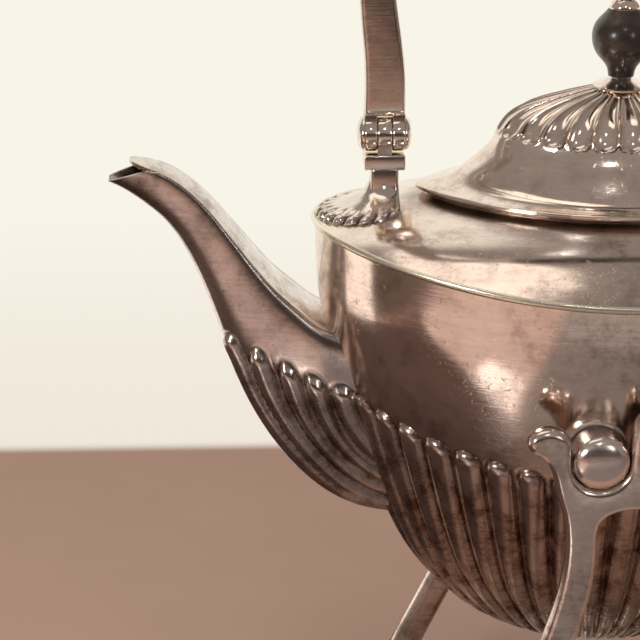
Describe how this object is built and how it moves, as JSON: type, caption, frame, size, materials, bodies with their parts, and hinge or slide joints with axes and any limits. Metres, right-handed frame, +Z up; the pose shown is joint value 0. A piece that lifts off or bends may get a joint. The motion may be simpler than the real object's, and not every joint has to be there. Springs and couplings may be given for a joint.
{
  "type": "spirit kettle on stand",
  "caption": "Fluted oval kettle with hinged lid, swing handle and curved spout, tilting on trunnions in a footed stand over a spirit burner with a hinged snuffer.",
  "frame": {"origin": "centre of the bounding box's footprint, on the table under the feet", "axes": "+Z up, spout towards -X, the user's side towards -Y, lid hinge on the +Y side"},
  "size_m": [0.2688, 0.172, 0.3771],
  "materials": {
    "body_plate": "silver-plated, polished, lightly tarnished to a warm brown",
    "lid_plate": "silver-plated, polished, lightly tarnished",
    "handle_plate": "silver-plated, polished",
    "stand_plate": "silver-plated, polished, greyer with wear",
    "burner_plate": "silver-plated, polished",
    "bare_brass": "bare brass",
    "ebonised_wood": "ebonised, satin polished",
    "insulator": "bone-coloured, satin",
    "wick_cotton": "plaited cotton, singed at the top"
  },
  "bodies": {
    "stand": {"near_side_frame": "stand_plate", "far_side_frame": "stand_plate", "front_stretcher": "stand_plate", "rear_stretcher": "stand_plate", "burner_ring": "stand_plate", "feet": "stand_plate", "frame_screws": "stand_plate"},
    "kettle": {"kettle_body": "body_plate", "shoulder": "body_plate", "shoulder_bead": "body_plate", "lid_bezel": "body_plate", "spout": "body_plate", "spout_strainer": "body_plate", "front_handle_lug": "body_plate", "rear_handle_lug": "body_plate", "front_trunnions": "body_plate", "rear_trunnions": "body_plate", "lid_hinge_leaf": "body_plate", "lid_hinge_pin": "body_plate"},
    "lid": {"lid_shell": "lid_plate", "lid_skirt": "lid_plate", "lid_hinge_knuckles": "lid_plate", "finial_base": "lid_plate", "finial_knob": "ebonised_wood", "finial_cap": "lid_plate", "finial_rod": "bare_brass", "finial_nut": "bare_brass"},
    "handle": {"front_handle_arm": "handle_plate", "rear_handle_arm": "handle_plate", "front_handle_pin": "handle_plate", "rear_handle_pin": "handle_plate", "handle_grip": "ebonised_wood", "handle_ferrules": "handle_plate", "handle_insulators": "insulator", "grip_rod": "bare_brass"},
    "burner": {"burner_reservoir": "burner_plate", "burner_collar": "burner_plate", "wick_tube": "burner_plate", "wick": "wick_cotton", "burner_handle": "burner_plate", "snuffer_pin": "burner_plate"},
    "snuffer": {"snuffer_cap": "burner_plate"}
  },
  "joints": [
    {"name": "kettle_tilt", "type": "hinge", "parent": "stand", "child": "kettle", "pos_m": [0.01885, 0, 0.1837], "axis": [0, -1, 0], "range_deg": [0, 45]},
    {"name": "lid_hinge", "type": "hinge", "parent": "kettle", "child": "lid", "pos_m": [0.03335, 0.043, 0.25], "axis": [-1, 0, 0], "range_deg": [0, 105]},
    {"name": "handle_swing", "type": "hinge", "parent": "kettle", "child": "handle", "pos_m": [0.03335, 0, 0.2679], "axis": [1, 0, 0], "range_deg": [-90, 90]},
    {"name": "burner_lift", "type": "slide", "parent": "stand", "child": "burner", "axis": [0, 0, 1], "range_m": [0, 0.008]},
    {"name": "snuffer_hinge", "type": "hinge", "parent": "burner", "child": "snuffer", "pos_m": [0.04875, 0, 0.052], "axis": [0, 1, 0], "range_deg": [0, 105]}
  ]
}
